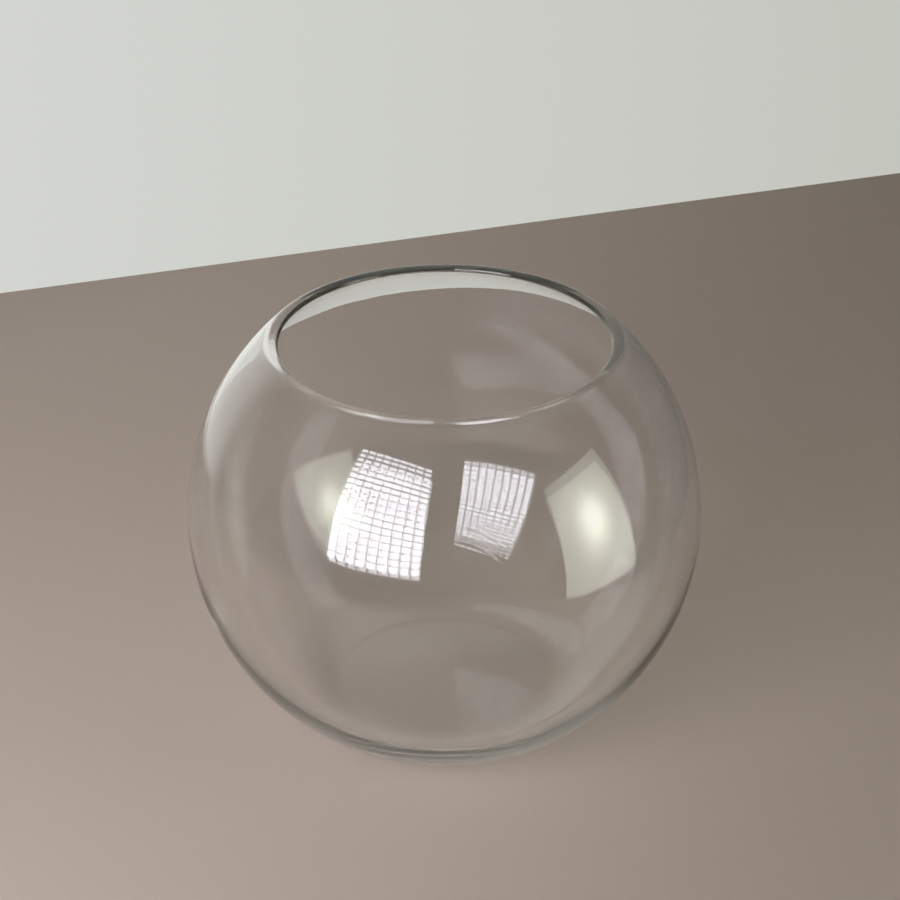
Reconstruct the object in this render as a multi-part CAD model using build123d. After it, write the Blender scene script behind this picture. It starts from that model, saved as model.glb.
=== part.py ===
from build123d import *
import os
from math import atan2, cos, radians, sin, sqrt

# Rose bowl vase: one piece of clear blown glass, a ball with a wide mouth and a flattened foot.
# Millimetres, +Z up, with the origin on the resting plane under the middle of the foot.

# Driving dimensions
body_diameter = 150.0  # widest outside width of the ball
mouth_opening = 93.2  # clear width inside the rim
rim_outer_rounding = 3.0  # the rim is cut level and its two edges are melted round
rim_inner_rounding = 0.8
rim_top_width = 1.4  # level width left between the two roundings
rim_swell = 6.0  # way below the rim over which the wall thickens towards it
foot_diameter = 67.5  # outer edge of the flat ring that the bowl stands on
foot_ring_width = 5.0  # flat width of that ring
heel_radius = 32.0  # outside rounding from the ball into the foot
heel_slope = 8.0  # degrees above level at which the heel leaves the foot's edge
push_up = 1.0  # rise of the shallow hollow under the foot
neck_wall = 2.6  # wall where the swelling towards the rim starts
belly_wall = 1.5  # wall at the widest part, where the glass is blown thinnest
heel_wall = 2.6  # wall where the ball runs into the heel
floor_edge_wall = 2.4  # glass between the resting plane and the edge of the floor
floor_wall = 3.0  # glass in the middle of the floor

body_radius = body_diameter / 2
foot_radius = foot_diameter / 2


def section_point(radius, height):
    """A point of the half section, by its distance from the axis and its height."""
    return Vector(radius, 0, height)


def outward_at(angle):
    """The way straight out of the ball at an angle above its widest line."""
    return Vector(cos(angle), 0, sin(angle))


def along_wall(outward):
    """The way up the wall where the given direction points straight out of it."""
    return Vector(-outward.Z, 0, outward.X)


level = Vector(1, 0, 0)
upright = Vector(0, 0, 1)

# The heel arc leaves the foot's edge at its slope and runs smoothly into the ball,
# and that sets how high the ball's centre stands.
heel_lean = radians(heel_slope)
heel_centre = section_point(foot_radius - heel_radius * sin(heel_lean), heel_radius * cos(heel_lean))
heel_centre_drop = sqrt((body_radius - heel_radius) ** 2 - heel_centre.X**2)
ball_centre = section_point(0, heel_centre.Z + heel_centre_drop)
heel_outward = (heel_centre - ball_centre).normalized()
heel_outside = ball_centre + heel_outward * body_radius
heel_inside = ball_centre + heel_outward * (body_radius - heel_wall)
heel_start = outward_at(heel_lean)

# The inner rounding of the rim lies against the mouth and the outer one against the ball, so the
# mouth and the rim's width set how high up the ball the bowl is cut.
mouth_radius = mouth_opening / 2
rim_outer_reach = mouth_radius + rim_inner_rounding + rim_top_width
rim_outer_rise = sqrt((body_radius - rim_outer_rounding) ** 2 - rim_outer_reach**2)
rim_outer_centre = ball_centre + section_point(rim_outer_reach, rim_outer_rise)
bowl_height = rim_outer_centre.Z + rim_outer_rounding
rim_outward = (rim_outer_centre - ball_centre).normalized()
rim_outside = ball_centre + rim_outward * body_radius
rim_top_outer = rim_outer_centre + upright * rim_outer_rounding
rim_inner_centre = section_point(mouth_radius + rim_inner_rounding, bowl_height - rim_inner_rounding)
rim_top_inner = rim_inner_centre + upright * rim_inner_rounding
mouth_edge = rim_inner_centre - level * rim_inner_rounding
rim_inward = (rim_inner_centre - ball_centre).normalized()
rim_inside = rim_inner_centre - rim_inward * rim_inner_rounding

# The wall thins from the rim's swelling to the belly and thickens again down to the heel: above
# and below the belly its inside is an arc that starts upright there.
neck_angle = atan2(rim_inward.Z, rim_inward.X) - rim_swell / body_radius
neck_inside = ball_centre + outward_at(neck_angle) * (body_radius - neck_wall)
belly_outside = ball_centre + level * body_radius
belly_inside = ball_centre + level * (body_radius - belly_wall)


def inside_arc_centre(end):
    """Centre of the arc that leaves the inside of the belly upright and runs to the given point."""
    narrowing = belly_inside.X - end.X
    rise = end.Z - belly_inside.Z
    return belly_inside - level * ((narrowing**2 + rise**2) / (2 * narrowing))


neck_outward = (neck_inside - inside_arc_centre(neck_inside)).normalized()

# The inner heel carries the lower inside wall on and ends level at the floor's edge.
inner_heel_outward = (heel_inside - inside_arc_centre(heel_inside)).normalized()
inner_heel_radius = (heel_inside.Z - floor_edge_wall) / (1 + inner_heel_outward.Z)
floor_edge = section_point(heel_inside.X - inner_heel_radius * inner_heel_outward.X, floor_edge_wall)

# Foot and floor: a flat ring, a shallow hollow inside it, and a floor that follows the hollow.
ring_outer = section_point(foot_radius, 0)
ring_inner = section_point(foot_radius - foot_ring_width, 0)
hollow_top = section_point(0, push_up)
floor_middle = section_point(0, push_up + floor_wall)

# The half section, edge by edge, from the middle of the foot up the outside and down the inside.
foot_hollow = Spline(hollow_top, ring_inner, tangents=[level, level])
foot_ring = Line(ring_inner, ring_outer)
outer_heel = TangentArc(ring_outer, heel_outside, tangent=heel_start)
outer_wall = ThreePointArc(heel_outside, belly_outside, rim_outside)
rim_outer_edge = TangentArc(rim_outside, rim_top_outer, tangent=along_wall(rim_outward))
rim_top = Line(rim_top_outer, rim_top_inner)
rim_inner_edge = ThreePointArc(rim_top_inner, mouth_edge, rim_inside)
swelling_ways = [-along_wall(rim_inward), -along_wall(neck_outward)]
rim_swelling = Spline(rim_inside, neck_inside, tangents=swelling_ways)
upper_wall = TangentArc(belly_inside, neck_inside, tangent=upright)
lower_wall = TangentArc(belly_inside, heel_inside, tangent=-upright)
inner_heel = TangentArc(heel_inside, floor_edge, tangent=-along_wall(inner_heel_outward))
floor = Spline(floor_edge, floor_middle, tangents=[-level, -level])
axis_line = Line(floor_middle, hollow_top)

outside_edges = [foot_hollow, foot_ring, outer_heel, outer_wall]
rim_edges = [rim_outer_edge, rim_top, rim_inner_edge, rim_swelling]
inside_edges = [upper_wall, lower_wall, inner_heel, floor, axis_line]
half_section = make_face(outside_edges + rim_edges + inside_edges)

# One piece of glass, turned from the half section.
glass_bowl = revolve(half_section, axis=Axis.Z)
glass_bowl.label = "glass_bowl"
glass_bowl.color = Color(0.80, 0.86, 0.84, 0.35)

os.makedirs("parts", exist_ok=True)
export_step(glass_bowl, "parts/glass_bowl.step")

bowl_size = glass_bowl.bounding_box().size
print(f"glass_bowl: {bowl_size.X:.2f} wide, {bowl_size.Z:.2f} high, {glass_bowl.volume:.0f} cubic mm")
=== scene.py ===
import math
import bpy
from mathutils import Matrix, Vector


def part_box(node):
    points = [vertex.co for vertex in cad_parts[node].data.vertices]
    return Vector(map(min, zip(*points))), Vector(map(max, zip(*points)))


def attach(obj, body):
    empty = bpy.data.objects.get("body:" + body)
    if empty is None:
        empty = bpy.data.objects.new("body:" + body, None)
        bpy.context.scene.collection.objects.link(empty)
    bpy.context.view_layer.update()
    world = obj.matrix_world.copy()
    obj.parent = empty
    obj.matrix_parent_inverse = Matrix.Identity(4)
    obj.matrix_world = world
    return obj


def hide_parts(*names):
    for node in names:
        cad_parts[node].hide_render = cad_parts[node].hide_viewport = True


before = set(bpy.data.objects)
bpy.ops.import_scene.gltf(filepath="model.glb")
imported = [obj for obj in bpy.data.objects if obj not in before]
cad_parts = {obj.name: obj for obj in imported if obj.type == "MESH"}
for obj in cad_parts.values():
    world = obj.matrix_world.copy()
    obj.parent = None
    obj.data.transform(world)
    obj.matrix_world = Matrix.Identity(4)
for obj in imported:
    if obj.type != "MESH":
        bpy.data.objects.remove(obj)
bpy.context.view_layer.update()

scene = bpy.context.scene
scene.view_settings.view_transform = "Standard"
glassBounces = 56                       # light runs a long way inside a glass wall
scene.cycles.max_bounces = glassBounces
scene.cycles.glossy_bounces = glassBounces
scene.cycles.transmission_bounces = glassBounces
scene.cycles.blur_glossy = 0.0          # keeps the light under the bowl as bright as round it
bowlLow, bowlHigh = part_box("glass_bowl")
ballRadius = (bowlHigh[0] - bowlLow[0]) / 2
rimHeight = bowlHigh[2]
print("frame:", len(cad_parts), "node, ball", round(ballRadius * 2000, 1), "mm wide")


def addNode(tree, kind, values=None, **settings):
    made = tree.nodes.new(kind)
    for name, value in settings.items():
        setattr(made, name, value)
    for socket, value in (values or {}).items():
        made.inputs[socket].default_value = value
    return made


def link(tree, source, target):
    tree.links.new(source, target)


def mathNode(tree, operation, first, second=0.0):
    made = addNode(tree, "ShaderNodeMath", operation=operation)
    for socket, value in zip(made.inputs, (first, second)):
        if isinstance(value, float):
            socket.default_value = value
        else:
            link(tree, value, socket)
    return made.outputs[0]


def straightView(tree):
    # 1 for what is seen straight on or straight through the glass, 0 for what lights or mirrors
    path = addNode(tree, "ShaderNodeLightPath").outputs
    bounces = mathNode(tree, "ADD", path["Glossy Depth"], path["Diffuse Depth"])
    return mathNode(tree, "LESS_THAN", bounces, 0.5)


# Glass bowl: a half section by formula, turned by a node tree, in metres
bowl = {
    "mouthOpening": 0.0932,     # clear width inside the rim
    "outerRound": 0.003,        # the rim was cut level and its edges melted round
    "innerRound": 0.0008,
    "neckWall": 0.0028,         # wall below the rim, before it swells
    "neckSwell": 0.006,         # how far below the rim the wall starts to swell
    "footDiameter": 0.0675,     # crisp outer edge of the foot
    "footRingWidth": 0.005,
    "heelRadius": 0.032,
    "heelSlope": 8.0,           # degrees at which the heel meets the foot
    "pushUp": 0.001,            # shallow hollow under the foot
    "bellyWall": 0.0015,
    "heelWall": 0.0026,
    "floorEdge": 0.0024,        # glass under the edge of the floor
    "floorWall": 0.003,
    "unevenAcross": 0.0002,     # the hollow sits this far off the middle
    "segments": 256,            # steps round the axis
    "rippleHeight": 0.000012,   # blown surface, not quite even
    "rippleLength": 0.02,
    "rippleSeed": 7.0,
    "rippleDetail": 1.0,
    "seamGap": 0.000001,        # points closer than this are one
}

footRadius = bowl["footDiameter"] / 2
ringInner = footRadius - bowl["footRingWidth"]
heelRadius = bowl["heelRadius"]
heelSlope = math.radians(bowl["heelSlope"])
heelCentre = (footRadius - heelRadius * math.sin(heelSlope), heelRadius * math.cos(heelSlope))
ballHeight = heelCentre[1] + math.sqrt((ballRadius - heelRadius) ** 2 - heelCentre[0] ** 2)
heelAngle = math.atan2(heelCentre[1] - ballHeight, heelCentre[0])
mouthRadius = bowl["mouthOpening"] / 2
outerRise = rimHeight - bowl["outerRound"] - ballHeight
outerRing = math.sqrt((ballRadius - bowl["outerRound"]) ** 2 - outerRise ** 2)
innerRise = rimHeight - bowl["innerRound"] - ballHeight
innerRing = mouthRadius + bowl["innerRound"]
rimAngle = math.atan2(outerRise, outerRing)
neckAngle = math.atan2(innerRise, innerRing)
rimWall = ballRadius - math.hypot(innerRing, innerRise) + bowl["innerRound"]


def smoothStep(t):
    t = min(max(t, 0), 1)
    return t * t * (3 - 2 * t)


def onArc(centre, radius, angle):
    return centre[0] + radius * math.cos(angle), centre[1] + radius * math.sin(angle)


def arcPoints(centre, radius, start, end, count):
    return [onArc(centre, radius, start + (end - start) * i / count) for i in range(count)]


def wallAt(angle):
    belly, end, wall = bowl["bellyWall"], neckAngle, bowl["neckWall"]
    if angle < 0:
        end, wall = heelAngle, bowl["heelWall"]
    swell = 1 - smoothStep((neckAngle - angle) * ballRadius / bowl["neckSwell"])
    rise = (wall - belly) * (1 - math.cos(angle)) / (1 - math.cos(end))
    return belly + rise + (rimWall - bowl["neckWall"]) * swell


def halfSection():
    ball = (0, ballHeight)
    hollowSteps, heelSteps, ballSteps, edgeSteps, wallSteps = 14, 24, 96, 12, 112
    ringShares = (0, 0.5, 0.9, 0.98)    # closer together towards the crisp edge of the foot
    pastEdge = 0.003                    # radians from that edge to the first step up the heel
    crowding = 1.2                      # steps lie closer together under the rim
    nearHeel = heelAngle * 0.999
    points = []
    for i in range(hollowSteps):
        t = i / hollowSteps
        points.append((ringInner * t, bowl["pushUp"] * (1 - smoothStep(t))))
    for share in ringShares:
        points.append((ringInner + bowl["footRingWidth"] * share, 0.0))
    edge = heelSlope - math.pi / 2
    points.append(onArc(heelCentre, heelRadius, edge))
    points += arcPoints(heelCentre, heelRadius, edge + pastEdge, heelAngle, heelSteps)
    points += arcPoints(ball, ballRadius, heelAngle, rimAngle, ballSteps)
    outerEdge = (outerRing, ballHeight + outerRise)
    innerEdge = (innerRing, ballHeight + innerRise)
    points += arcPoints(outerEdge, bowl["outerRound"], rimAngle, math.pi / 2, edgeSteps)
    points.append((outerRing, rimHeight))
    outerCount = len(points)
    points += arcPoints(innerEdge, bowl["innerRound"], math.pi / 2, neckAngle + math.pi, edgeSteps * 2)
    for i in range(wallSteps):
        angle = neckAngle + (heelAngle - neckAngle) * (i / wallSteps) ** crowding
        points.append(onArc(ball, ballRadius - wallAt(angle), angle))
    # inner heel: an arc that carries on from the wall and ends level at the floor's edge
    above = onArc(ball, ballRadius - wallAt(nearHeel), nearHeel)
    below = onArc(ball, ballRadius - bowl["heelWall"], heelAngle)
    facing = math.atan2(below[0] - above[0], above[1] - below[1])
    innerHeel = (below[1] - bowl["floorEdge"]) / (1 + math.sin(facing))
    innerCentre = (below[0] - innerHeel * math.cos(facing), bowl["floorEdge"] + innerHeel)
    points += arcPoints(innerCentre, innerHeel, facing, -math.pi / 2, heelSteps)
    floorEdge = (innerCentre[0], bowl["floorEdge"])
    floorTop = bowl["pushUp"] + bowl["floorWall"]
    for i in range(hollowSteps + 1):
        t = i / hollowSteps
        points.append((floorEdge[0] * (1 - t), floorEdge[1] + (floorTop - floorEdge[1]) * smoothStep(t)))
    inside = [0.0 if i < outerCount else 1.0 for i in range(len(points))]
    return points, inside


def atRow(tree, section, value, row, kind):
    made = addNode(tree, "GeometryNodeSampleIndex", data_type=kind, domain="POINT")
    link(tree, section, made.inputs["Geometry"])
    link(tree, value, made.inputs["Value"])
    link(tree, row, made.inputs["Index"])
    return made.outputs[0]


def turnedGlassTree():
    tree = bpy.data.node_groups.new("turnedGlass", "GeometryNodeTree")
    kinds = {
        "Geometry": "Geometry", "Segments": "Int", "Hollow Offset": "Vector", "Ripple Height": "Float",
        "Ripple Length": "Float", "Ripple Seed": "Float", "Material": "Material",
    }
    for name, kind in kinds.items():
        tree.interface.new_socket(name, in_out="INPUT", socket_type="NodeSocket" + kind)
    tree.interface.new_socket("Geometry", in_out="OUTPUT", socket_type="NodeSocketGeometry")
    given = addNode(tree, "NodeGroupInput").outputs
    # a flat grid: one row for each point of the half section, one column for each step round
    size = addNode(tree, "GeometryNodeAttributeDomainSize", component="MESH")
    link(tree, given["Geometry"], size.inputs["Geometry"])
    columns = mathNode(tree, "ADD", given["Segments"], 1.0)
    grid = addNode(tree, "GeometryNodeMeshGrid")
    link(tree, size.outputs["Point Count"], grid.inputs["Vertices X"])
    link(tree, columns, grid.inputs["Vertices Y"])
    index = addNode(tree, "GeometryNodeInputIndex").outputs[0]
    row = mathNode(tree, "FLOOR", mathNode(tree, "DIVIDE", index, columns))
    column = mathNode(tree, "MODULO", index, columns)
    part = mathNode(tree, "DIVIDE", column, given["Segments"])
    angle = mathNode(tree, "MULTIPLY", part, -math.tau)     # clockwise, so that faces look outwards
    # each grid point takes the place of its section point, turned about the axis
    place = addNode(tree, "GeometryNodeInputPosition").outputs[0]
    turn = addNode(tree, "ShaderNodeVectorRotate", rotation_type="Z_AXIS")
    link(tree, atRow(tree, given["Geometry"], place, row, "FLOAT_VECTOR"), turn.inputs["Vector"])
    link(tree, angle, turn.inputs["Angle"])
    # the hollow sits a little off the middle, so one side is thicker
    inside = addNode(tree, "GeometryNodeInputNamedAttribute", {"Name": "inside"}, data_type="FLOAT")
    within = atRow(tree, given["Geometry"], inside.outputs["Attribute"], row, "FLOAT")
    aside = addNode(tree, "ShaderNodeVectorMath", operation="SCALE")
    link(tree, given["Hollow Offset"], aside.inputs[0])
    link(tree, within, aside.inputs["Scale"])
    placed = addNode(tree, "ShaderNodeVectorMath", operation="ADD")
    link(tree, turn.outputs[0], placed.inputs[0])
    link(tree, aside.outputs[0], placed.inputs[1])
    lathe = addNode(tree, "GeometryNodeSetPosition")
    link(tree, grid.outputs["Mesh"], lathe.inputs["Geometry"])
    link(tree, placed.outputs[0], lathe.inputs["Position"])
    closed = addNode(tree, "GeometryNodeMergeByDistance", {"Distance": bowl["seamGap"]})
    link(tree, lathe.outputs[0], closed.inputs["Geometry"])
    # the blown surface swells and thins by about a hundredth of a millimetre
    ripple = addNode(tree, "ShaderNodeTexNoise", {"Detail": bowl["rippleDetail"]}, noise_dimensions="4D")
    link(tree, place, ripple.inputs["Vector"])
    link(tree, mathNode(tree, "DIVIDE", 1.0, given["Ripple Length"]), ripple.inputs["Scale"])
    link(tree, given["Ripple Seed"], ripple.inputs["W"])
    centred = mathNode(tree, "SUBTRACT", ripple.outputs[0], 0.5)
    offset = addNode(tree, "ShaderNodeVectorMath", operation="SCALE")
    link(tree, addNode(tree, "GeometryNodeInputNormal").outputs[0], offset.inputs[0])
    link(tree, mathNode(tree, "MULTIPLY", centred, given["Ripple Height"]), offset.inputs["Scale"])
    uneven = addNode(tree, "GeometryNodeSetPosition")
    link(tree, closed.outputs[0], uneven.inputs["Geometry"])
    link(tree, offset.outputs[0], uneven.inputs["Offset"])
    smooth = addNode(tree, "GeometryNodeSetShadeSmooth")
    link(tree, uneven.outputs[0], smooth.inputs["Geometry"])
    whole = addNode(tree, "GeometryNodeRealizeInstances")
    link(tree, smooth.outputs[0], whole.inputs["Geometry"])
    glazed = addNode(tree, "GeometryNodeSetMaterial")
    link(tree, whole.outputs[0], glazed.inputs["Geometry"])
    link(tree, given["Material"], glazed.inputs["Material"])
    link(tree, glazed.outputs[0], addNode(tree, "NodeGroupOutput").inputs[0])
    return tree


glass = {
    "ior": 1.52,
    "edgeTint": (0.80, 0.815, 0.785, 1.0),  # faint grey-green, seen along the glass
    "tintDensity": 20.0,
    "roughLow": 0.0, "roughHigh": 0.02,     # a thin, patchy film
    "filmScale": 38.0, "filmDetail": 3.0, "filmFrom": 0.45, "filmTo": 0.75,
    "footWear": 0.14,                       # scuffed where it stands, up to this height
    "footWearHeight": 0.006,
    "rimSatin": 0.12,                       # the cut rim is not quite as bright as the wall
    "rimSatinDepth": 0.0025,
    "endBand": 0.0005,                      # wear and satin are whole this close to the ends
    "pitScale": 260.0, "pitDetail": 2.0,
    "pitStrength": 0.015,
    "pitDepth": 0.0002,
}


def makeClearGlass():
    material = bpy.data.materials.new("clearGlass")
    material.use_nodes = True
    tree = material.node_tree
    tree.nodes.clear()
    shader = addNode(tree, "ShaderNodeBsdfPrincipled", {
        "Base Color": (1.0, 1.0, 1.0, 1.0),
        "IOR": glass["ior"],
        "Transmission Weight": 1.0,
    })
    coords = addNode(tree, "ShaderNodeTexCoord").outputs["Object"]
    film = addNode(tree, "ShaderNodeTexNoise", {"Scale": glass["filmScale"], "Detail": glass["filmDetail"]})
    link(tree, coords, film.inputs["Vector"])
    rough = addNode(tree, "ShaderNodeMapRange", {
        "From Min": glass["filmFrom"], "From Max": glass["filmTo"],
        "To Min": glass["roughLow"], "To Max": glass["roughHigh"],
    })
    link(tree, film.outputs[0], rough.inputs["Value"])
    heights = addNode(tree, "ShaderNodeSeparateXYZ")
    link(tree, coords, heights.inputs[0])
    foot = addNode(tree, "ShaderNodeMapRange", {
        "From Min": glass["endBand"], "From Max": glass["footWearHeight"],
        "To Min": glass["footWear"], "To Max": 0.0,
    })
    rim = addNode(tree, "ShaderNodeMapRange", {
        "From Min": rimHeight - glass["rimSatinDepth"], "From Max": rimHeight - glass["endBand"],
        "To Min": 0.0, "To Max": glass["rimSatin"],
    })
    link(tree, heights.outputs["Z"], foot.inputs["Value"])
    link(tree, heights.outputs["Z"], rim.inputs["Value"])
    ends = mathNode(tree, "MAXIMUM", foot.outputs[0], rim.outputs[0])
    link(tree, mathNode(tree, "MAXIMUM", rough.outputs[0], ends), shader.inputs["Roughness"])
    pits = addNode(tree, "ShaderNodeTexNoise", {"Scale": glass["pitScale"], "Detail": glass["pitDetail"]})
    link(tree, coords, pits.inputs["Vector"])
    bump = addNode(tree, "ShaderNodeBump", {
        "Strength": glass["pitStrength"], "Distance": glass["pitDepth"],
    })
    link(tree, pits.outputs[0], bump.inputs["Height"])
    link(tree, bump.outputs[0], shader.inputs["Normal"])
    tint = addNode(tree, "ShaderNodeVolumeAbsorption", {
        "Color": glass["edgeTint"], "Density": glass["tintDensity"],
    })
    out = addNode(tree, "ShaderNodeOutputMaterial")
    link(tree, shader.outputs[0], out.inputs["Surface"])
    link(tree, tint.outputs[0], out.inputs["Volume"])
    return material


def makeBowl():
    section, inside = halfSection()
    line = bpy.data.meshes.new("bowlSection")
    line.from_pydata([(r, 0.0, z) for r, z in section], [(i, i + 1) for i in range(len(section) - 1)], [])
    line.attributes.new("inside", "FLOAT", "POINT").data.foreach_set("value", inside)
    piece = bpy.data.objects.new("roseBowl", line)
    scene.collection.objects.link(piece)
    tree = turnedGlassTree()
    modifier = piece.modifiers.new("turnedGlass", "NODES")
    modifier.node_group = tree
    wanted = {
        "Segments": bowl["segments"],
        "Hollow Offset": (bowl["unevenAcross"], 0.0, 0.0),
        "Ripple Height": bowl["rippleHeight"],
        "Ripple Length": bowl["rippleLength"],
        "Ripple Seed": bowl["rippleSeed"],
        "Material": makeClearGlass(),
    }
    for item in tree.interface.items_tree:
        if item.in_out == "INPUT" and item.name in wanted:
            modifier[item.identifier] = wanted[item.name]
    evaluated = piece.evaluated_get(bpy.context.evaluated_depsgraph_get())
    turned = bpy.data.meshes.new_from_object(evaluated)
    piece.modifiers.clear()
    piece.data = turned
    bpy.data.meshes.remove(line)
    return piece


roseBowl = makeBowl()
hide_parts("glass_bowl")
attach(roseBowl, "root")
print("bowl:", len(roseBowl.data.polygons), "faces")

# Floor: a pale table top that ends behind the bowl, its colour painted from shade at the front right to
# light behind on the left
floor = {
    "drop": 0.0002,             # hair's breadth under the foot
    "farLeft": (-0.1985, 0.2835),
    "farRight": (0.2279, 0.4252),
    "left": -0.9,
    "right": 0.245,
    "front": -0.9,
    "nearShadedColour": (0.250, 0.202, 0.166, 1.0),   # front right, painted shade
    "farLitColour": (0.52, 0.428, 0.358, 1.0),     # behind on the left, painted light
    "fadeAlong": (-1.0, 1.0, 0.0),
    "fadeFrom": -0.2, "fadeTo": 0.4,
    "roughness": 0.6,
}


def makeFloor():
    (ax, ay), (bx, by) = floor["farLeft"], floor["farRight"]
    slope = (by - ay) / (bx - ax)
    corners = [
        (floor["left"], floor["front"]),
        (floor["right"], floor["front"]),
        (floor["right"], by + slope * (floor["right"] - bx)),
        (floor["left"], ay + slope * (floor["left"] - ax)),
    ]
    mesh = bpy.data.meshes.new("paleFloor")
    mesh.from_pydata([(x, y, -floor["drop"]) for x, y in corners], [], [(0, 1, 2, 3)])
    made = bpy.data.objects.new("paleFloor", mesh)
    scene.collection.objects.link(made)
    material = bpy.data.materials.new("palePaintedFalloff")
    material.use_nodes = True
    tree = material.node_tree
    shader = tree.nodes["Principled BSDF"]
    shader.inputs["Roughness"].default_value = floor["roughness"]
    # painted light and shade: the floor's colour fades from dark at the front right to light behind on the
    # left, as light falling across the table would
    away = addNode(tree, "ShaderNodeVectorMath", operation="DOT_PRODUCT")
    away.inputs[1].default_value = floor["fadeAlong"]
    link(tree, addNode(tree, "ShaderNodeTexCoord").outputs["Object"], away.inputs[0])
    fade = addNode(tree, "ShaderNodeMapRange", {"From Min": floor["fadeFrom"], "From Max": floor["fadeTo"]})
    link(tree, away.outputs["Value"], fade.inputs["Value"])
    paint = addNode(tree, "ShaderNodeMixRGB", {"Color1": floor["nearShadedColour"], "Color2": floor["farLitColour"]})
    link(tree, fade.outputs[0], paint.inputs["Fac"])
    link(tree, paint.outputs[0], shader.inputs["Base Color"])
    mesh.materials.append(material)
    return made


makeFloor()
print("floor: done")

# Softboxes: heading is measured from +Y towards +X
keySoftbox = {
    "heading": -151.3, "nearPlan": 0.446, "topPlan": 0.380, "low": 0.097, "high": 0.488,
    "width": 0.303, "radiance": 11.8, "colour": (0.92, 0.92, 1.0),
    "columns": 9.0, "rows": 18.0,               # cells of the egg-crate in front of it
    "clearAcross": 0.6, "clearUp": 0.22,        # where one looks straight into the cells
    "thinAcross": 0.16, "thinUp": 0.12, "deepAcross": 0.20, "deepUp": 0.40, "wallShade": 0.85,
}
sideSoftbox = {
    "heading": 116.5, "nearPlan": 0.437, "topPlan": 0.437, "low": -0.041, "high": 0.325,
    "width": 0.26, "radiance": 7.2, "colour": (0.95, 1.0, 0.86),
    "spotAcross": 0.5, "spotUp": 0.55, "spotSize": 0.22, "cloth": 0.36, "edge": 0.30,
}


def placeSoftbox(name, box):
    heading = math.radians(box["heading"])
    away = Vector((math.sin(heading), math.cos(heading), 0))
    foot = away * box["nearPlan"] + Vector((0, 0, box["low"]))
    head = away * box["topPlan"] + Vector((0, 0, box["high"]))
    up = (head - foot).normalized()
    side = Vector((-away.y, away.x, 0))
    back = side.cross(up)
    tall = (head - foot).length
    light = bpy.data.lights.new(name, "AREA")
    light.shape = "RECTANGLE"
    light.size = box["width"]
    light.size_y = tall
    light.color = box["colour"]
    light.energy = 4 * box["width"] * tall * box["radiance"]    # watts that give the radiance
    made = bpy.data.objects.new(name, light)
    facing = Matrix((side, up, back)).transposed().to_4x4()
    made.matrix_world = Matrix.Translation((foot + head) / 2) @ facing
    made.visible_camera = False
    scene.collection.objects.link(made)
    light.use_nodes = True
    tree = light.node_tree
    tree.nodes.clear()
    glow = addNode(tree, "ShaderNodeEmission")
    link(tree, glow.outputs[0], addNode(tree, "ShaderNodeOutputLight").inputs["Surface"])
    apart = addNode(tree, "ShaderNodeSeparateXYZ")
    link(tree, addNode(tree, "ShaderNodeNewGeometry").outputs["Parametric"], apart.inputs[0])
    print("softbox:", name, round(tall, 3), "m tall")
    return tree, glow.inputs["Strength"], apart.outputs["X"], apart.outputs["Y"]


def cellWalls(tree, along, count, clear, thin, deep):
    # the further from the clear spot, the more of each cell's wall is seen
    off = mathNode(tree, "ABSOLUTE", mathNode(tree, "SUBTRACT", along, clear))
    seen = mathNode(tree, "ADD", mathNode(tree, "MULTIPLY", off, deep), thin)
    cell = mathNode(tree, "FRACT", mathNode(tree, "MULTIPLY", along, count))
    return mathNode(tree, "LESS_THAN", cell, seen)


def makeKeySoftbox():
    box = keySoftbox
    tree, level, across, up = placeSoftbox("keySoftbox", box)
    uprights = cellWalls(
        tree, across, box["columns"], box["clearAcross"], box["thinAcross"], box["deepAcross"],
    )
    levels = cellWalls(tree, up, box["rows"], box["clearUp"], box["thinUp"], box["deepUp"])
    walls = mathNode(tree, "MAXIMUM", uprights, levels)
    lit = mathNode(tree, "SUBTRACT", 1.0, mathNode(tree, "MULTIPLY", walls, box["wallShade"]))
    link(tree, lit, level)


def makeSideSoftbox():
    # cloth front with the lamp showing through in the middle
    box = sideSoftbox
    tree, level, across, up = placeSoftbox("sideSoftbox", box)
    awayX = mathNode(tree, "SUBTRACT", across, box["spotAcross"])
    awayY = mathNode(tree, "SUBTRACT", up, box["spotUp"])
    apart = mathNode(tree, "ADD", mathNode(tree, "POWER", awayX, 2.0), mathNode(tree, "POWER", awayY, 2.0))
    spread = mathNode(tree, "DIVIDE", apart, -box["spotSize"] ** 2)
    spot = mathNode(tree, "POWER", math.e, spread)
    fade = mathNode(tree, "SUBTRACT", box["cloth"], mathNode(tree, "MULTIPLY", apart, box["edge"]))
    share = mathNode(tree, "MULTIPLY", spot, 1.0 - box["cloth"])
    link(tree, mathNode(tree, "ADD", fade, share), level)


makeKeySoftbox()
makeSideSoftbox()

# Surroundings: pale behind and overhead, dim elsewhere
around = {
    "backdropLeft": (0.67, 0.68, 0.65, 1.0),
    "backdropRight": (0.54, 0.55, 0.50, 1.0),
    "backdropSpread": 0.3,
    "dim": (0.13, 0.125, 0.115, 1.0),
    "backWall": (0.85, 0.85, 0.81, 1.0),    # what the glass mirrors behind on the left
    "brightHeading": -25.0,
    "edgeLow": 0.74,
    "edgeHigh": 0.94,
    "ceiling": (0.25, 0.25, 0.24, 1.0),
    "ceilingLow": 0.45,
    "ceilingHigh": 0.85,
    "screenGap": 0.002, "screenEdge": 0.006,    # how far a screen stands before its box and past it
}


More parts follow.
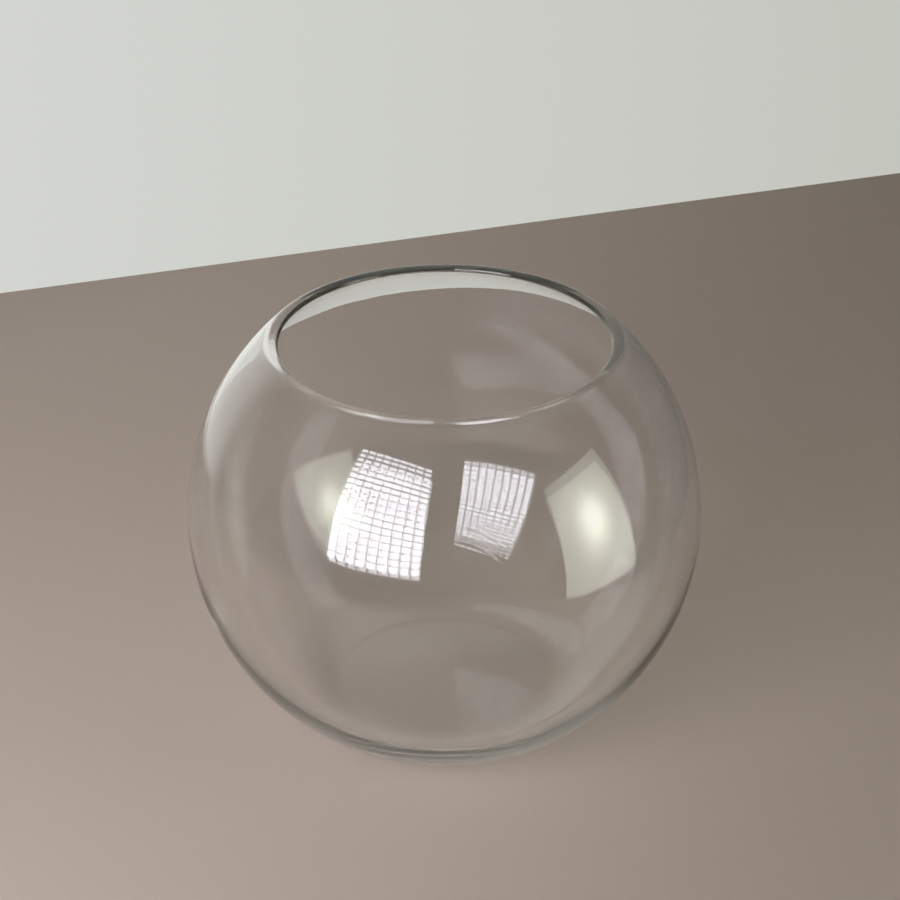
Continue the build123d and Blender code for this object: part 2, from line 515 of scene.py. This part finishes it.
def makeWorld():
    world = bpy.data.worlds.new("studio")
    scene.world = world
    world.use_nodes = True
    tree = world.node_tree
    tree.nodes.clear()
    heading = math.radians(around["brightHeading"])
    coords = addNode(tree, "ShaderNodeTexCoord").outputs["Generated"]
    facing = addNode(tree, "ShaderNodeVectorMath", operation="DOT_PRODUCT")
    facing.inputs[1].default_value = (math.sin(heading), math.cos(heading), 0)
    link(tree, coords, facing.inputs[0])
    spread = addNode(tree, "ShaderNodeMapRange", {
        "From Min": around["edgeLow"], "From Max": around["edgeHigh"],
    }, interpolation_type="SMOOTHSTEP")
    link(tree, facing.outputs["Value"], spread.inputs["Value"])
    mix = addNode(tree, "ShaderNodeMixRGB", {"Color1": around["dim"], "Color2": around["backWall"]})
    link(tree, spread.outputs[0], mix.inputs["Fac"])
    heights = addNode(tree, "ShaderNodeSeparateXYZ")
    link(tree, coords, heights.inputs[0])
    overhead = addNode(tree, "ShaderNodeMapRange", {
        "From Min": around["ceilingLow"], "From Max": around["ceilingHigh"],
    }, interpolation_type="SMOOTHSTEP")
    link(tree, heights.outputs["Z"], overhead.inputs["Value"])
    whole = addNode(tree, "ShaderNodeMixRGB", {"Color2": around["ceiling"]})
    link(tree, overhead.outputs[0], whole.inputs["Fac"])
    link(tree, mix.outputs[0], whole.inputs["Color1"])
    sideways = addNode(tree, "ShaderNodeMapRange", {
        "From Min": -around["backdropSpread"], "From Max": around["backdropSpread"],
    })
    link(tree, heights.outputs["X"], sideways.inputs["Value"])
    backdrop = addNode(tree, "ShaderNodeMixRGB", {
        "Color1": around["backdropLeft"], "Color2": around["backdropRight"],
    })
    link(tree, sideways.outputs[0], backdrop.inputs["Fac"])
    shown = addNode(tree, "ShaderNodeMixRGB")
    link(tree, backdrop.outputs[0], shown.inputs["Color2"])
    link(tree, straightView(tree), shown.inputs["Fac"])
    link(tree, whole.outputs[0], shown.inputs["Color1"])
    background = addNode(tree, "ShaderNodeBackground")
    link(tree, shown.outputs[0], background.inputs["Color"])
    link(tree, background.outputs[0], addNode(tree, "ShaderNodeOutputWorld").inputs["Surface"])


def hangScreen(name, colour):
    # keeps a softbox from showing straight through the glass, and lets all other light pass
    box = bpy.data.objects[name]
    wide = box.data.size / 2 + around["screenEdge"]
    tall = box.data.size_y / 2 + around["screenEdge"]
    mesh = bpy.data.meshes.new(name + "Screen")
    corners = [(-wide, -tall), (wide, -tall), (wide, tall), (-wide, tall)]
    mesh.from_pydata([(x, y, -around["screenGap"]) for x, y in corners], [], [(0, 1, 2, 3)])
    made = bpy.data.objects.new(name + "Screen", mesh)
    made.matrix_world = box.matrix_world.copy()
    made.visible_camera = made.visible_diffuse = made.visible_glossy = made.visible_shadow = False
    scene.collection.objects.link(made)
    material = bpy.data.materials.new(name + "Screen")
    material.use_nodes = True
    material.cycles.emission_sampling = "NONE"
    tree = material.node_tree
    tree.nodes.clear()
    mix = addNode(tree, "ShaderNodeMixShader")
    link(tree, straightView(tree), mix.inputs[0])
    link(tree, addNode(tree, "ShaderNodeBsdfTransparent").outputs[0], mix.inputs[1])
    link(tree, addNode(tree, "ShaderNodeEmission", {"Color": colour}).outputs[0], mix.inputs[2])
    link(tree, mix.outputs[0], addNode(tree, "ShaderNodeOutputMaterial").inputs["Surface"])
    mesh.materials.append(material)


makeWorld()
hangScreen("keySoftbox", around["backdropLeft"])
hangScreen("sideSoftbox", around["backdropRight"])
print("world and screens: done")

# Camera at the photograph's viewing angle
view = {
    "distance": 0.5547,         # from the middle of the ball
    "elevation": 31.60,
    "pitchUp": 1.76,
    "turnRight": 0.196,
    "lens": 75.4, "sensorWidth": 36.0,
    "clipStart": 0.01,
}
lens = bpy.data.cameras.new("camera")
lens.lens = view["lens"]
lens.sensor_width = view["sensorWidth"]
lens.clip_start = view["clipStart"]
camera = bpy.data.objects.new("camera", lens)
rise = math.radians(view["elevation"])
camera.location = (0, -view["distance"] * math.cos(rise), ballHeight + view["distance"] * math.sin(rise))
camera.rotation_euler = (
    math.radians(90 - view["elevation"] + view["pitchUp"]), 0, math.radians(-view["turnRight"]),
)
scene.collection.objects.link(camera)
scene.camera = camera
print("camera: done")
